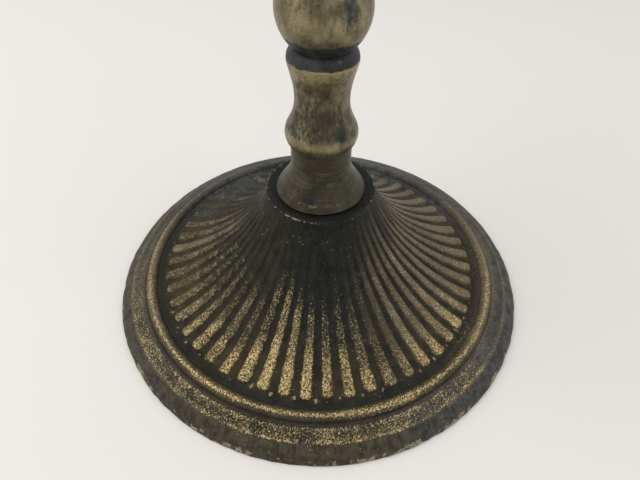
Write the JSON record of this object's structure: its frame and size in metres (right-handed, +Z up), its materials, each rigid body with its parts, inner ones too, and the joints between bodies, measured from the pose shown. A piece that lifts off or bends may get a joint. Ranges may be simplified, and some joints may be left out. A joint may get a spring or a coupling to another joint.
{
  "type": "altar candlestick",
  "caption": "Tall brass altar candlestick: round fluted base, turned stem with a ball knop, round drip pan and a lift-out candle nozzle.",
  "frame": {"origin": "centre of the base's underside, where it stands on the table", "axes": "+Z up along the stem, towards the candle"},
  "size_m": [0.15, 0.15, 0.275],
  "materials": {
    "base_casting": "near-black patina, rough, with gold-coloured speckle rubbed through on the ribs and the ring",
    "stem_brass": "turned, dull olive-gold with blue-black and brown patches",
    "ring_brass": "smooth blue-black patina",
    "pan_brass": "spun, dull, dark in the hollows",
    "nozzle_brass": "turned, worn brighter at the lip",
    "steel": "plain steel, darkened and slightly rusty"
  },
  "bodies": {
    "stick": {"base": "base_casting", "stem_foot": "stem_brass", "lower_spool": "stem_brass", "lower_ring": "ring_brass", "ball_knop": "stem_brass", "upper_ring": "ring_brass", "upper_spool": "stem_brass", "baluster": "stem_brass", "neck_ring": "stem_brass", "capital": "stem_brass", "drip_pan": "pan_brass", "candle_socket": "stem_brass", "tie_rod": "steel", "clamp_washer": "steel", "clamp_nut": "steel"},
    "nozzle": {"nozzle": "nozzle_brass"}
  },
  "joints": [
    {"name": "nozzle_lift", "type": "slide", "parent": "stick", "child": "nozzle", "axis": [0, 0, 1], "range_m": [0, 0.04]}
  ]
}
